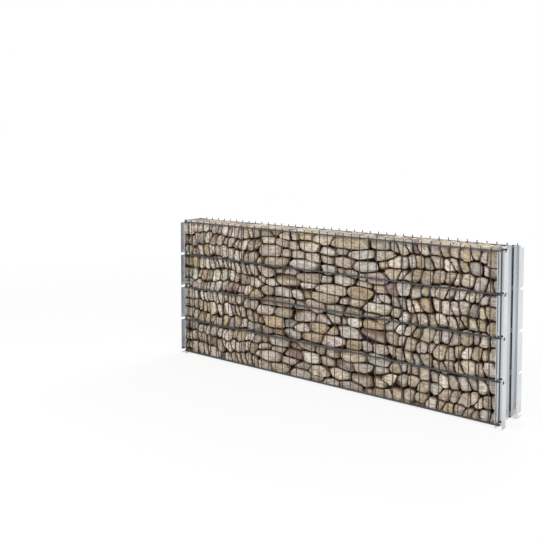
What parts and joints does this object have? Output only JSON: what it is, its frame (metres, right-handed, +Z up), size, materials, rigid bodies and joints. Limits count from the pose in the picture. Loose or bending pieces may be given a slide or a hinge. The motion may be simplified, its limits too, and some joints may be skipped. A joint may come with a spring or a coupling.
{
  "type": "gabion wall",
  "caption": "Low gabion wall bay: stone fill held between two twin-wire steel mats that hook into notches of two galvanised channel posts, shown from the ground up.",
  "frame": {"origin": "on the ground, in the middle of the wall's length and depth", "axes": "+X along the wall to the right, +Y from the front to the rear, +Z up"},
  "size_m": [2.0504, 0.228, 0.827],
  "materials": {
    "galvanised_steel": "bright galvanised sheet, smooth, with soft cloudy zinc grain",
    "coated_wire": "anthracite powder coat, satin",
    "stone": "loose quarry stones in beige, grey, cream and some mauve, dry and matt"
  },
  "bodies": {
    "root": {"left_post_front_channel": "galvanised_steel", "left_post_rear_channel": "galvanised_steel", "left_post_web_plate": "galvanised_steel", "right_post_front_channel": "galvanised_steel", "right_post_rear_channel": "galvanised_steel", "right_post_web_plate": "galvanised_steel", "front_mat_uprights": "coated_wire", "front_mat_outer_wire_1": "coated_wire", "front_mat_outer_wire_2": "coated_wire", "front_mat_outer_wire_3": "coated_wire", "front_mat_outer_wire_4": "coated_wire", "front_mat_outer_wire_5": "coated_wire", "front_mat_inner_wire_1": "coated_wire", "front_mat_inner_wire_2": "coated_wire", "front_mat_inner_wire_3": "coated_wire", "front_mat_inner_wire_4": "coated_wire", "front_mat_inner_wire_5": "coated_wire", "rear_mat_uprights": "coated_wire", "rear_mat_outer_wire_1": "coated_wire", "rear_mat_outer_wire_2": "coated_wire", "rear_mat_outer_wire_3": "coated_wire", "rear_mat_outer_wire_4": "coated_wire", "rear_mat_outer_wire_5": "coated_wire", "rear_mat_inner_wire_1": "coated_wire", "rear_mat_inner_wire_2": "coated_wire", "rear_mat_inner_wire_3": "coated_wire", "rear_mat_inner_wire_4": "coated_wire", "rear_mat_inner_wire_5": "coated_wire", "stone_fill": "stone"}
  },
  "joints": []
}
